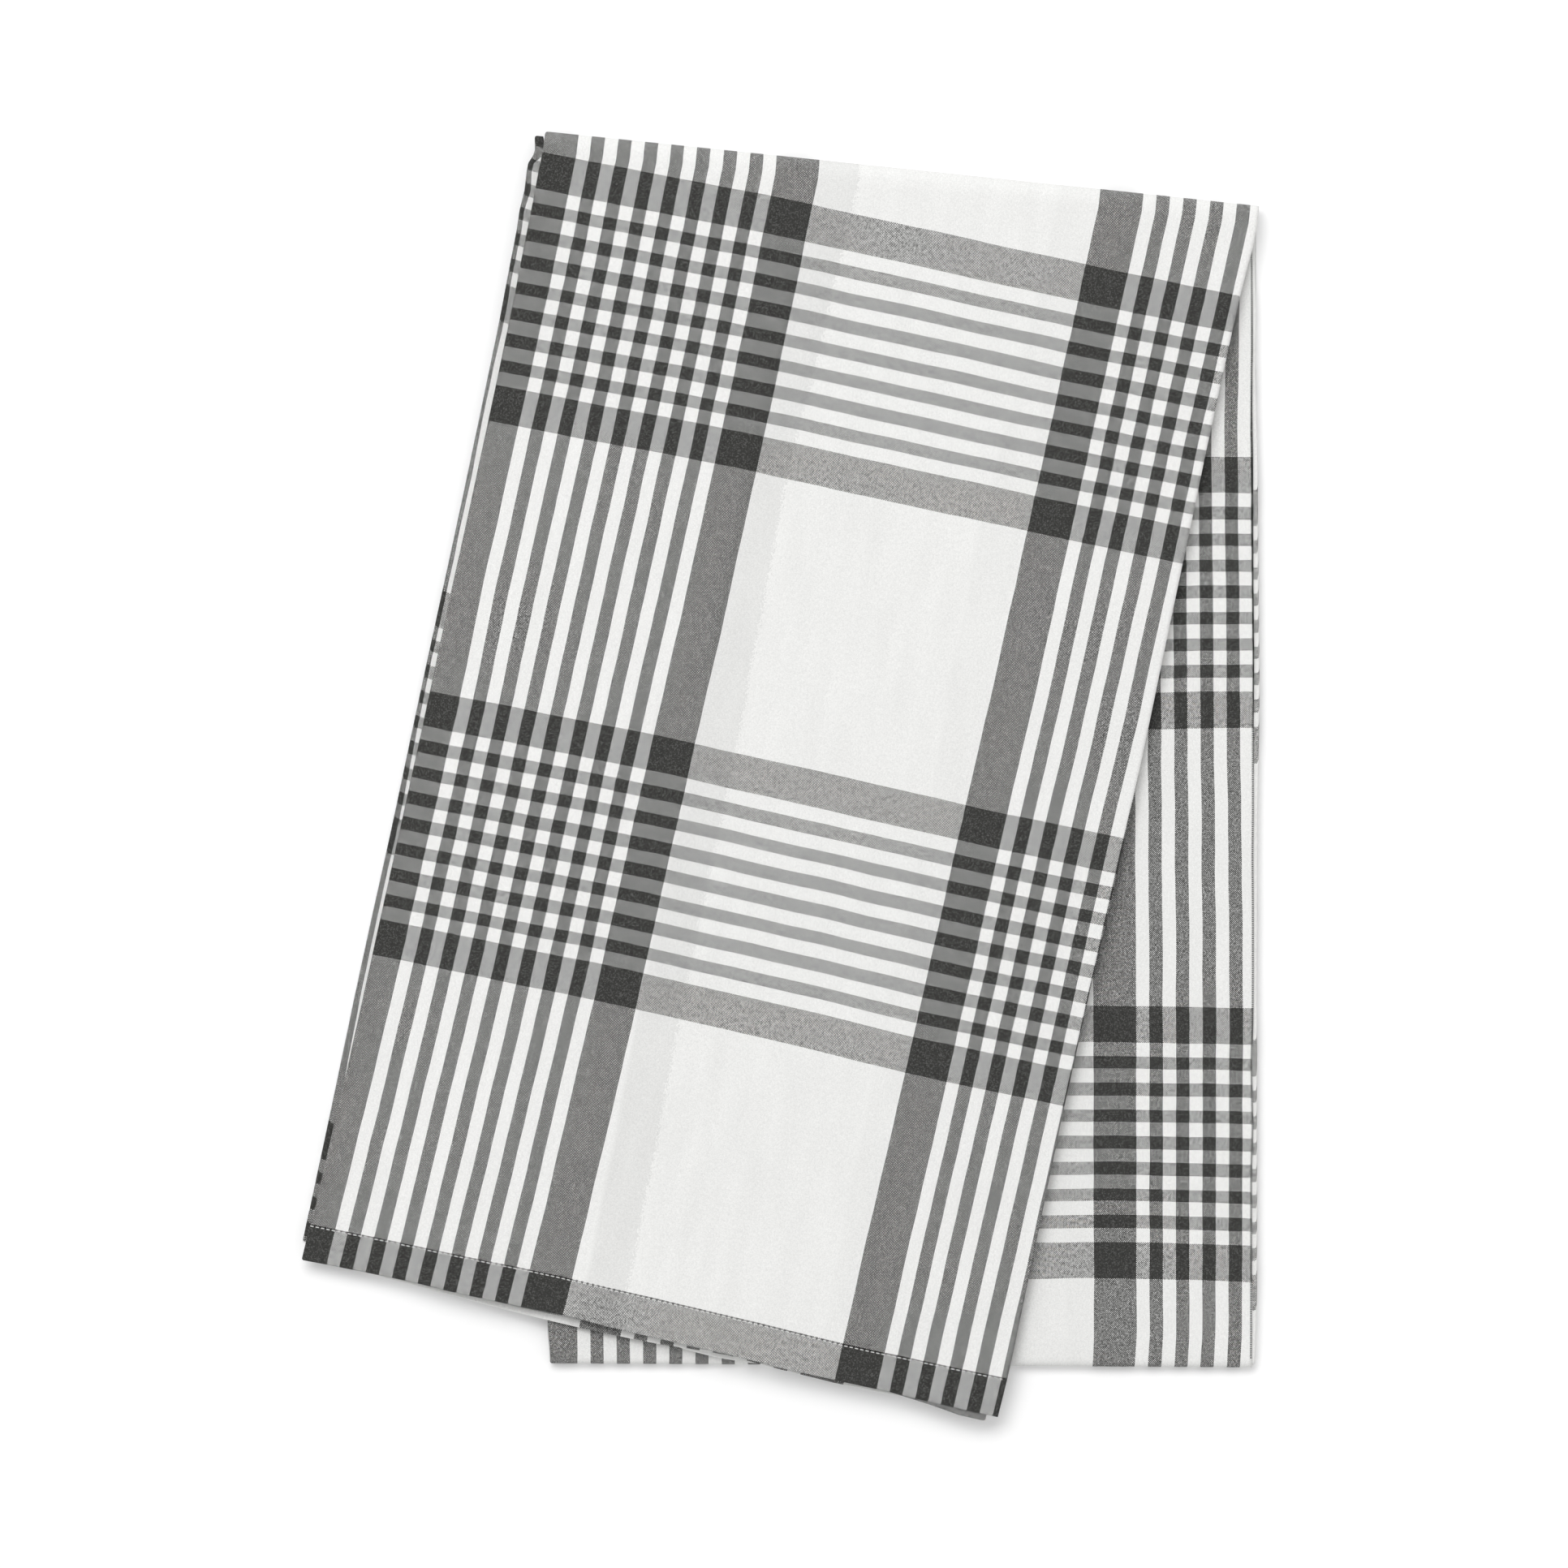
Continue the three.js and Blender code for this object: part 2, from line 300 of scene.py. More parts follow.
# Stations across a layer, in mm from the strip's left edge.
inner = cloth["left"] + np.array([5, 11, 18, 26, 35, 44, 53, 63, 74, 86, 99, 113, 128, 143, 158, 173, 188,
                                  203, 218, 233, 248, 263, 278, 293, 306, 317, 328, 338.0])
nearEdge = np.array([0.0, 0.07, 0.3, 0.36, 0.68])  # between the edge and the last station on its side
arcSteps = 6


def crossSection(edgeX):
    # the strip's four layers to and fro, with half circles between them; edgeX is rows by five edges.
    # Gives x (rows by stations) and, for each station, height z, direction nx, nz and layer number
    x, z, nx, nz, layer = [], [], [], [], []
    bend = cloth["pitch"] / 2
    rows = len(edgeX)
    for n in range(4):
        leftward = n % 2 == 0
        level = half + n * cloth["pitch"]
        pull = bend if leftward else -bend
        start = edgeX[:, n] if n == 0 else edgeX[:, n] - pull
        end = edgeX[:, n + 1] if n == 3 else edgeX[:, n + 1] + pull
        body = inner[::-1] if leftward else inner
        head = mix(start[:, None], body[0], nearEdge[None, :])
        tail = mix(end[:, None], body[-1], nearEdge[None, ::-1])
        part = np.hstack([head, np.tile(body, (rows, 1)), tail])
        x.append(part)
        z.append(np.full(part.shape[1], level))
        nx.append(np.zeros(part.shape[1]))
        nz.append(np.full(part.shape[1], -1.0 if leftward else 1.0))
        layer.append(np.full(part.shape[1], float(n)))
        if n == 3:
            break
        a = np.pi * (np.arange(1, arcSteps) / arcSteps - 0.5)
        out = (-1 if leftward else 1) * np.cos(a)
        x.append(end[:, None] + bend * out[None, :])
        z.append(level + bend + bend * np.sin(a))
        nx.append(out if leftward else -out)
        nz.append((1 if leftward else -1) * np.sin(a))
        layer.append(n + np.arange(1, arcSteps) / arcSteps)
    return np.hstack(x), np.concatenate(z), np.concatenate(nx), np.concatenate(nz), np.concatenate(layer)


def edgeWave(along, number):
    # sum of slow sine waves along the strip, each edge with its own start
    turn = 2 * np.pi * along
    return sum(w["height"] * np.sin(turn / w["length"] + w["start"] + 2.1 * number) for w in edgeWaves)


def hemExtra(table, x, layer):
    # each layer's own line of values, mixed between neighbouring layers round the folds
    w = (x - cloth["left"]) / width
    values = np.stack([np.interp(w, spec["share"], spec["past"]) for spec in table])
    low = np.clip(np.floor(layer).astype(int), 0, 3)
    high = np.minimum(low + 1, 3)
    rows, places = np.indices(x.shape)
    return mix(values[low[None, :], rows, places], values[high[None, :], rows, places], (layer - low)[None, :])


def edgeLines(run, where, shares):
    # the five edges' X along a run: the knots' values mixed, or the edge's own shape, then slow waves, and
    # the left folds' pull towards the crosswise fold
    fromKnot, toKnot = run["knots"]
    shapes = edgeShapes["lower" if run["kind"] == "lower" else "second" if run["turned"] else "first"]
    lines = []
    for number, edge in enumerate(edges):
        shift = mix(edge[fromKnot], edge[toKnot], shares)
        wave = edgeWave(where, number)
        shape = shapes.get(edge["at"])
        if run["kind"] == "upper" and shape:
            shift = np.interp(1 - shares, shape["share"], shape["shift"])
        if run["kind"] == "lower" and run["turned"] and shape:
            shift = np.interp(shares, shape["share"], shape["shift"])
            wave = 0
        if edge["at"] != "sideEnd":
            wave = wave * (4 * shares * (1 - shares) if run["kind"] == "lower" else 0)
        if edge["base"] == "left" and run["kind"] in ("lower", "cross"):
            down = shares if run["kind"] == "lower" else 1.0
            nearCross = np.clip((down - cloth["cornerFrom"]) / (1 - cloth["cornerFrom"]), 0, 1)
            shift = shift + cloth["cornerPull"] * nearCross
        lines.append(cloth[edge["base"]] + shift + wave)
    return np.stack(lines, axis=1)


def unevenness(x, y):
    # swells: sum of slow sine waves; trough: a bell across the line from its start to its end
    turns = [2 * np.pi * (x / swell["alongX"] + y / swell["alongY"]) + swell["start"] for swell in swells]
    rise = sum(swell["height"] * np.sin(turn) for swell, turn in zip(swells, turns))
    ax, ay = trough["from"]
    bx, by = trough["to"]
    length = math.hypot(bx - ax, by - ay)
    ux, uy = (bx - ax) / length, (by - ay) / length
    along = (x - ax) * ux + (y - ay) * uy
    aside = (x - ax) * -uy + (y - ay) * ux
    inside = smooth(along / trough["fade"]) * smooth((length - along) / trough["fade"])
    return rise - trough["depth"] * inside * np.exp(-(aside / trough["width"]) ** 2)


def sheetSurface():
    # both faces of the folded sheet, and its threads' coordinates, on one grid of rows by stations
    along, mids, tops, bottoms, stripX, pulled = 0.0, [], [], [], [], []
    lengths = {"upper": 616.0, "lower": cloth["lowerLength"], "over": 20.0, "cross": 10.0}
    for run in runs:
        share = run["share"]
        fraction = share if run["kind"] == "lower" else np.zeros(len(share))
        if run["kind"] == "upper":
            fraction = 1 - (1 - run["near"] / cloth["upperLength"]) * (1 - share)
        where = along + lengths[run["kind"]] * np.linspace(0, 1, len(share))
        along += lengths[run["kind"]]
        edgeX = edgeLines(run, where, fraction)
        x, z, nx, nz, layer = crossSection(edgeX)
        if run["kind"] == "upper":
            runLength = upperRun(x)[4]
            extra = hemExtra(hemPast["second" if run["turned"] else "first"], x, layer)
            near = run["near"][:, None]
            if not run["turned"]:
                # the top layer's stitch line keeps to its place in the pattern; the rows beside it follow
                slips = slip(slipsAlong, cloth["right"] - x, np.full(x.shape, cloth["stitchAt"]))
                deep = cloth["stitchAt"] - slips + cloth["stitchFollow"] * extra
                follow = np.interp(near, [0, cloth["hemDepth"], hemSteps[-1]], [0, 1, 0])
                near = near + (deep - cloth["hemDepth"]) * follow * np.clip(1 - layer, 0, 1)[None, :]
                hemStart = -(extra * np.clip(1 - layer, 0, 1)[None, :])[0]
            t = (1 - near / runLength) * (1 - share[:, None])
            extra = extra * smooth(1 - (1 - t) * runLength / cloth["hemFade"])
            fromEnd = run["near"] + share * cloth["lowerLength"]
            hem = smooth((cloth["hemDepth"] + cloth["stitchWidth"] - fromEnd) / cloth["stitchWidth"])
            dent = np.exp(-((fromEnd - cloth["hemDepth"]) / cloth["stitchGroove"]) ** 2) * cloth["stitchDent"]
            thick = mix(cloth["thickness"], cloth["hemThickness"], hem) - dent
            thick[fromEnd == hemSteps[0]] *= cloth["endThickness"]
            thick[fromEnd == hemSteps[1]] *= cloth["nextThickness"]
        else:
            thick = np.full(len(share), cloth["thickness"])
        pulled.append(extra if run["kind"] == "upper" and run["turned"] else np.zeros(x.shape))
        faces = []
        for side in (0, 1, -1):
            sx = x + side * thick[:, None] / 2 * nx
            sz = z + side * thick[:, None] / 2 * nz
            if run["turned"]:
                sz = 2 * crossZ - sz
            if run["kind"] == "upper":
                placed = placeUpper(sx, sz, t, extra)
            elif run["kind"] == "over":
                placed = placeOver(sx, sz, share[:, None])
            elif run["kind"] == "lower":
                placed = placeLower(sx, sz, share[:, None])
            else:
                placed = placeCross(sx, sz, share[:, None])
            faces.append(np.stack(placed, axis=-1))
        mids.append(faces[0])
        tops.append(faces[1])
        bottoms.append(faces[2])
        stripX.append(x)
    mid, top, bottom = np.vstack(mids), np.vstack(tops), np.vstack(bottoms)
    free = mid.copy()  # threads are measured along the pile before it is pressed
    for grid in (mid, top, bottom):
        level = np.clip(grid[..., 2] / (2 * overZ), 0, 1)
        grid[..., 2] *= pressed(grid[..., 0], grid[..., 1])
        grid[..., 2] += cloth["lie"] + level * unevenness(grid[..., 0], grid[..., 1])
    return mid, top, bottom, free, np.vstack(stripX), z, hemStart, np.vstack(pulled)


def tongueShare(stripX):
    # 0 to 1 at the outermost stations of the slanted fold's second half; rounded sine over the fold
    rows = slice(rowCount - len(upperShare) - overSteps, rowCount - len(upperShare))
    aside = smooth((cloth["left"] - tongue["from"] - stripX[rows]) / tongue["width"])
    share = np.zeros(stripX.shape)
    share[rows] = aside * rounded(np.sin(overAngle))[:, None]
    return share


def threadCoordinates(free, stripX, heights):
    # across: length along the strip's section from the first side edge; along: length from the first hem
    steps = np.hypot(np.diff(stripX, axis=1), np.diff(heights)[None, :])
    across = np.hstack([np.zeros((len(stripX), 1)), np.cumsum(steps, axis=1)])
    across += cloth["right"] - stripX[:, :1]
    run = np.linalg.norm(np.diff(free, axis=0), axis=2)
    along = np.vstack([np.zeros((1, free.shape[1])), np.cumsum(run, axis=0)])
    return across, along


# Slips of the woven pattern against the folds, in mm: the cloth isn't woven and folded quite square.
# Each row is at a distance along the cloth from the first hem. It has a value for each place across the
# cloth: side edge, stripe group, plain part, next group, first fold, second fold and other side edge.
# A single value holds at every place.
slipPlaces = [0, 80, 150, 240, 364, 728, 1456]

slipsAlong = {
    # the folded-over first half
    0: (0.5, 0.5, 0, -1.5, 0, 0, 0),
    20: (-1, 0, -1.5, -2.5, 0, 0, 0),
    160: (-0.5, 0.5, -1, -1.5, 1, 1, 1),
    300: (-0.5, 0.5, 0, 0, 3, 3, 3),
    450: (-1, 0, 0.5, 1, 5, 5, 5),
    520: (0, 1.5, 1.5, 2, 5.5, 5.5, 5.5),
    575: (-0.5, 1.5, 1.5, 2, 5.5, 5.5, 5.5),
    640: (-1, -1, -0.5, 0.5, 4.5, 5, 5),
    # the lower run of the second half
    1240: (7.5, 7, 7.5, 6.5, 7, 27, 27),
    1300: (8.5, 7.5, 9.5, 8, 7.5, 28.5, 28.5),
    1450: (9, 9, 10, 15, 35, 30.5, 30.5),
    1600: (8, 10.5, 10.5, 20, 47, 31, 31),
    1830: (12, 12.5, 12.5, 24, 50.5, 32.5, 32.5),
    # its folded-over run, of which the left edge and the hem's end show
    1880: 51.5,
    1910: 53.5,
    2110: 55.5,
    2180: 57.5,
    2390: 60.5,
    2415: 58,
    2432: 54.5,
    2449: (56.5, 56.5, 56.5, 51.5, 51.5, 51.5, 51.5),
    2460: (55.5, 55.5, 55.5, 50.5, 50.5, 50.5, 50.5),
}

slipsAcross = {
    0: (-5, -4.5, -4.5, -4.5, -4, -3.5, -3.5),
    60: (-4.5, -4.5, -3.5, -3.5, -3, -3, -3),
    160: (-4, -3.5, -2.5, -2.5, -1.5, -2, -2),
    300: (-3, -2.5, -2, -2, -1, -1.5, -1.5),
    360: (-1.5, -1.5, -2.5, -1, -2, -1.5, -1.5),
    520: (-0.5, -0.5, -1, -0.5, -1, -1.5, -1.5),
    640: (2, 0.5, -0.5, -2, -2, -1.5, -1.5),
    1244: (-3, -2.5, -2.5, -2, -1.5, -2.5, -2.5),
    1268: (-1.5, -1.5, -2, -2, -1.5, -2.5, -2.5),
    1450: (-1, -2, -2, -2.5, -2.5, -2.5, -2.5),
    1730: (-4, -3, -3, -3, -2.5, -2.5, -2.5),
    1830: -2.5,
    1870: -7,
    1920: -4.5,
    2000: -3,
    2360: -2.5,
    2400: (-1.5, -1.5, -1.5, -1.5, -1.5, -3.5, -28.5),
}


def slip(table, across, along):
    # straight lines between the table's rows, and between its places
    values = np.array([np.broadcast_to(row, len(slipPlaces)) for row in table.values()])
    columns = np.stack([np.interp(along, list(table), column) for column in values.T])
    k = np.interp(across, slipPlaces, np.arange(len(slipPlaces)))
    low = np.minimum(np.floor(k).astype(int), len(slipPlaces) - 2)
    rows, places = np.indices(low.shape)
    return mix(columns[low, rows, places], columns[low + 1, rows, places], k - low)


def slipped(across, along):
    return across + slip(slipsAcross, across, along), along + slip(slipsAlong, across, along)


# The second layer's own slip against the first, by distance along the cloth.
veilSlips = {"along": [0, 20, 160, 310, 450, 600, 760], "shift": [7.6, 8.0, 10.5, 10.6, 14.2, 6.6, 6.0]}


def gridFaces(rows, stations):
    # indices of the four corners of each cell of a grid
    k, j = np.meshgrid(np.arange(rows - 1), np.arange(stations - 1), indexing="ij")
    a = (k * stations + j).ravel()
    return np.stack([a, a + stations, a + stations + 1, a + 1], axis=1)


def makeMesh(name, points, faceSets, maps=None):
    # one object at the origin; each set of faces is an array of corners, and maps are named pairs of
    # coordinates for each point
    loops = np.concatenate([faces.ravel() for faces in faceSets]).astype(np.int32)
    corners = np.concatenate([np.full(len(faces), faces.shape[1]) for faces in faceSets])
    mesh = bpy.data.meshes.new(name)
    mesh.vertices.add(len(points))
    mesh.vertices.foreach_set("co", (points * mm).astype(np.float32).ravel())
    mesh.loops.add(len(loops))
    mesh.loops.foreach_set("vertex_index", loops)
    mesh.polygons.add(len(corners))
    mesh.polygons.foreach_set("loop_start", (np.cumsum(corners) - corners).astype(np.int32))
    for title, pairs in (maps or {}).items():
        uvMap = mesh.uv_layers.new(name=title)
        uvMap.data.foreach_set("uv", (pairs[loops] * mm).astype(np.float32).ravel())
    mesh.update(calc_edges=True)
    mesh.validate()
    mesh.shade_smooth()
    piece = bpy.data.objects.new(name, mesh)
    scene.collection.objects.link(piece)
    return piece


# the folded cloth, with the threads' places in its pattern
mid, top, bottom, free, stripX, heights, hemStart, pulled = sheetSurface()
across, along = threadCoordinates(free, stripX, heights)
along += hemStart[None, :] - pulled
# the crosswise fold's slope doesn't turn the woven pattern
pastCross = smooth((np.arange(rowCount) - crossStart) / (crossSteps - 1))[:, None]
along += 2 * cloth["crossSlope"] * (stripX - cloth["crossX"]) * pastCross
rawAcross, rawAlong = across, along
across, along = slipped(across, along)
along = np.maximum(along, 0.1)

# the small tongue, with its threads
outer = tongueShare(stripX)
along -= tongue["slip"] * outer
for grid in (mid, top, bottom):
    grid[..., 0] += cloth["toFrame"][0] + outer * (tongue["push"] * outward[0] - tongue["aside"])
    grid[..., 1] += cloth["toFrame"][1] + outer * tongue["push"] * outward[1]
threads = np.stack([across, along], axis=-1)

# what lies under each station of the outer layer: the second layer at the same place
layerStations = len(inner) + 2 * len(nearEdge)
below = threads.copy()
secondStart = layerStations + arcSteps - 1
below[:, :layerStations] = threads[:, secondStart:secondStart + layerStations][:, ::-1]
below[..., 0] += np.interp(below[..., 1], veilSlips["along"], veilSlips["shift"])

rowsAll, stations = mid.shape[:2]
topFaces = gridFaces(rowsAll, stations)
bottomFaces = topFaces[:, ::-1] + rowsAll * stations
r = np.arange(rowsAll - 1) * stations
c = np.arange(stations - 1)
offset = rowsAll * stations
lastC, lastR = stations - 1, (rowsAll - 1) * stations
rim = np.vstack([
    np.stack([r + stations, r, r + offset, r + stations + offset], axis=1),
    np.stack([r + lastC, r + stations + lastC, r + stations + lastC + offset, r + lastC + offset], axis=1),
    np.stack([c, c + 1, c + 1 + offset, c + offset], axis=1),
    np.stack([lastR + c + 1, lastR + c, lastR + c + offset, lastR + c + 1 + offset], axis=1),
])
points = np.vstack([top.reshape(-1, 3), bottom.reshape(-1, 3)])
pairs = np.vstack([threads.reshape(-1, 2)] * 2)
pairsBelow = np.vstack([below.reshape(-1, 2)] * 2)
pairsCloth = np.vstack([np.stack([rawAcross - rawAcross[:, :1], rawAlong], axis=-1).reshape(-1, 2)] * 2)
clothSheet = makeMesh("clothSheet", points, [topFaces, bottomFaces, rim],
                      {"threads": pairs, "below": pairsBelow, "cloth": pairsCloth})
print("cloth sheet:", rowsAll, "rows of", stations, "stations,", 2 * len(clothSheet.data.polygons), "triangles")
print("its length", round(float(along[-1].mean()), 1), "and width", round(float(across[:, -1].mean()), 1), "mm")

# Stitches along both hems, on both faces.
stitch = {"pitch": 2.8, "length": 1.95, "width": 0.56, "height": 0.34, "sink": 0.04,
          "rings": (-1.0, -0.62, 0.62, 1.0), "ringSizes": (0.35, 1.0, 1.0, 0.35)}


def stitchLine(row, faceGrid):
    # stitches at even steps along one row of a face: centre, direction and outward normal of each
    line, core = faceGrid[row], mid[row]
    outwards = line - core
    outwards /= np.linalg.norm(outwards, axis=1)[:, None]
    run = np.concatenate([[0], np.cumsum(np.linalg.norm(np.diff(line, axis=0), axis=1))])
    first = math.ceil(across[row, 0] / stitch["pitch"]) + 0.5
    places = np.arange(first, across[row, -1] / stitch["pitch"] - 0.4) * stitch["pitch"]
    centres = np.interp(places, across[row], run)

    def at(values, s):
        return np.stack([np.interp(s, run, values[:, k]) for k in range(3)], axis=1)

    centre = at(line, centres)
    heading = at(line, centres + 0.5) - at(line, centres - 0.5)
    heading /= np.linalg.norm(heading, axis=1)[:, None]
    normal = at(outwards, centres)
    normal /= np.linalg.norm(normal, axis=1)[:, None]
    return centre, heading, normal


def stitchMesh():
    # each stitch is a rounded bar: a ring of five points, smaller at both ends, carried along it
    centre, heading, normal = [np.vstack(v) for v in zip(*[
        stitchLine(row, grid) for row in (stitchRow, rowsAll - 1 - stitchRow) for grid in (top, bottom)])]
    sideways = np.cross(normal, heading)
    ringAt, ringSize = np.array(stitch["rings"]), np.array(stitch["ringSizes"])
    angle = 2 * np.pi * np.arange(5) / 5 + np.pi / 2
    lengthways = (ringAt * stitch["length"] / 2)[:, None] * np.ones(5)
    aside = ringSize[:, None] * np.cos(angle)[None, :] * stitch["width"] / 2
    up = ringSize[:, None] * np.sin(angle)[None, :] * stitch["height"] / 2 + stitch["sink"]
    points = centre[:, None, None, :]
    for distance, direction in ((lengthways, heading), (aside, sideways), (up, normal)):
        points = points + distance[None, ..., None] * direction[:, None, None, :]
    base = (np.arange(len(centre)) * 20)[:, None]
    k, j = np.meshgrid(np.arange(3), np.arange(5), indexing="ij")
    beside = (j + 1) % 5
    one = np.stack([k * 5 + j, k * 5 + beside, (k + 1) * 5 + beside, (k + 1) * 5 + j], axis=-1).reshape(-1, 4)
    caps = np.array([[0, 4, 3], [0, 3, 2], [0, 2, 1], [15, 16, 17], [15, 17, 18], [15, 18, 19]])
    quads = (base[:, None] + one[None]).reshape(-1, 4)
    ends = (base[:, None] + caps[None]).reshape(-1, 3)
    return points.reshape(-1, 3), [quads, ends]


stitchPoints, stitchFaces = stitchMesh()
hemStitches = makeMesh("hemStitches", stitchPoints, stitchFaces)
print("hem stitches:", len(stitchPoints) // 20)


class Signal:
    # a number socket, so that shader maths reads as an expression
    def __init__(self, tree, socket):
        self.tree, self.socket = tree, socket

    def maths(self, operation, *others):
        made = self.tree.nodes.new("ShaderNodeMath")
        made.operation = operation
        for place, term in enumerate((self, *others)):
            if isinstance(term, Signal):
                self.tree.links.new(term.socket, made.inputs[place])
            else:
                made.inputs[place].default_value = term
        return Signal(self.tree, made.outputs[0])

    def __add__(self, other):
        return self.maths("ADD", other)

    def __sub__(self, other):
        return self.maths("SUBTRACT", other)

    def __rsub__(self, other):
        return self.maths("MULTIPLY_ADD", -1.0, other)

    def __mul__(self, other):
        return self.maths("MULTIPLY", other)

    def __truediv__(self, other):
        return self.maths("DIVIDE", other)

    def __gt__(self, other):
        return self.maths("GREATER_THAN", other)

    def __lt__(self, other):
        return self.maths("LESS_THAN", other)

    __radd__ = __add__
    __rmul__ = __mul__


class Finish:
    # one material; node() takes a type, its settings and then its sockets' values or links
    def __init__(self, name):
        self.material = bpy.data.materials.new(name)
        self.material.use_nodes = True
        self.tree = self.material.node_tree
        self.tree.nodes.clear()

    def node(self, kind, settings=None, sockets=None):
        made = self.tree.nodes.new("ShaderNode" + kind)
        for name, value in (settings or {}).items():
            setattr(made, name, value)
        for name, value in (sockets or {}).items():
            if isinstance(value, Signal):
                self.tree.links.new(value.socket, made.inputs[name])
            elif isinstance(value, bpy.types.NodeSocket):
                self.tree.links.new(value, made.inputs[name])
            else:
                made.inputs[name].default_value = value
        return made

    def signal(self, made, output=0):
        return Signal(self.tree, made.outputs[output])

    def pair(self, mapName):
        # the two coordinates of a UV map, in metres
        place = self.node("UVMap", {"uv_map": mapName}).outputs["UV"]
        parts = self.node("SeparateXYZ", sockets={"Vector": place})
        return self.signal(parts, "X"), self.signal(parts, "Y")

    def vector(self, x, y, z=0.0):
        return self.node("CombineXYZ", sockets={"X": x, "Y": y, "Z": z}).outputs[0]

    def noise(self, vector, scale, detail=2.0, roughness=0.5):
        made = self.node("TexNoise", {"noise_dimensions": "2D"},
                         {"Vector": vector, "Scale": scale, "Detail": detail, "Roughness": roughness})
        return self.signal(made, 0)

    def mixColour(self, factor, a, b):
        made = self.node("Mix", {"data_type": "RGBA"}, {"Factor": factor})
        for place, value in ((6, a), (7, b)):
            if isinstance(value, bpy.types.NodeSocket):
                self.tree.links.new(value, made.inputs[place])
            else:
                made.inputs[place].default_value = (*value, 1)
        return made.outputs[2]

    def tint(self, colour, shade):
        # a colour times a number
        grey = self.node("CombineXYZ", sockets={"X": shade, "Y": shade, "Z": shade}).outputs[0]
        return self.node("VectorMath", {"operation": "MULTIPLY"}, {0: colour, 1: grey}).outputs[0]

    def surface(self, sockets, settings=None):
        shader = self.node("BsdfPrincipled", settings, sockets)
        out = self.node("OutputMaterial")
        self.tree.links.new(shader.outputs[0], out.inputs["Surface"])
        return shader


# Stripe groups: two thick stripes with seven thin ones between them, in mm.
stripes = {
    "across": {"centre": 8.81, "repeat": 287.9, "group": 145.1, "thick": 21.4, "step": 13.58, "thin": 6.75},
    "along": {"centre": -51.9, "repeat": 285.1, "group": 141.3, "thick": 18.9, "step": 13.75, "thin": 6.5},
}

weave = {
    "pitchAcross": 0.485, "pitchAlong": 0.485,   # from thread to thread, mm
    "white": (0.885, 0.885, 0.870), "dark": (0.043, 0.043, 0.0405),
    "overDark": 0.09, "overFleck": 0.30, "overSlub": 1.25,     # lengthwise white threads over dark ones
    "underDark": 0.46, "underFleck": 0.46, "underSlub": 0.8,   # crosswise white threads over dark ones
    "crownGapShade": 0.10,            # painted shade in the gaps between threads
    "slub": 0.10,             # unevenness along a thread
    "fleck": 0.09,            # and from crossing to crossing
    "fluff": 0.16, "bare": 0.1,   # pale fibres on the dark threads
    "wander": 0.7, "wanderScale": 34.0, "drift": 0.9, "driftScale": 27.0,  # threads aren't quite straight
    "warpScale": 520.0, "weftScale": 900.0, "threadScale": 0.61,   # of the tones along and across threads
    "mottle": 0.55, "mottleScale": (520.0, 360.0),   # soft clumps in the dark and mixed parts
    "broad": 0.06, "broadScale": (80.0, 24.0),       # wide faint unevenness along the cloth
    "veilThick": 0.088, "veilThin": 0.010,   # how much the layer below shows through
    "veilFleck": 2.4, "veilTone": 3.0,       # its stripes' borders are broken up by the threads
    "veilFrom": 95.0, "veilRise": 60.0, "veilLeast": 0.25,   # and it grows away from the side edge
    "pitShade": 0.65, "pitAt": 18.6, "pitSize": 0.6, "pitReach": 0.45,   # painted shade in the needle holes beside the stitches
    "curlShade": 0.42, "curlFrom": 371.0, "curlTo": 1120.0, "curlDepth": 4.0,   # painted shade on the later layers' hem ends
    "edgeGapShadow": 0.9, "edgeDots": 0.95, "edgeFrom": 1255.0, "edgeTo": 1826.0,  # painted shadow: dark dots along the side edge where it lies over a gap
    "roughness": 0.92, "bump": 0.35, "bumpDepth": 0.00012,
}


def darkStripes(position, spec):
    # a triangle wave gives the distance from a group's middle: thick stripes lie at the group's ends, and
    # a second triangle wave gives the thin ones between them
    c = (position - spec["centre"] * mm).maths("PINGPONG", spec["repeat"] * mm / 2)
    inside = c < spec["group"] * mm / 2
    thick = c > (spec["group"] / 2 - spec["thick"]) * mm
    thin = c.maths("PINGPONG", spec["step"] * mm / 2) < spec["thin"] * mm / 2
    return inside * thick, inside * thin * (1 - thick)


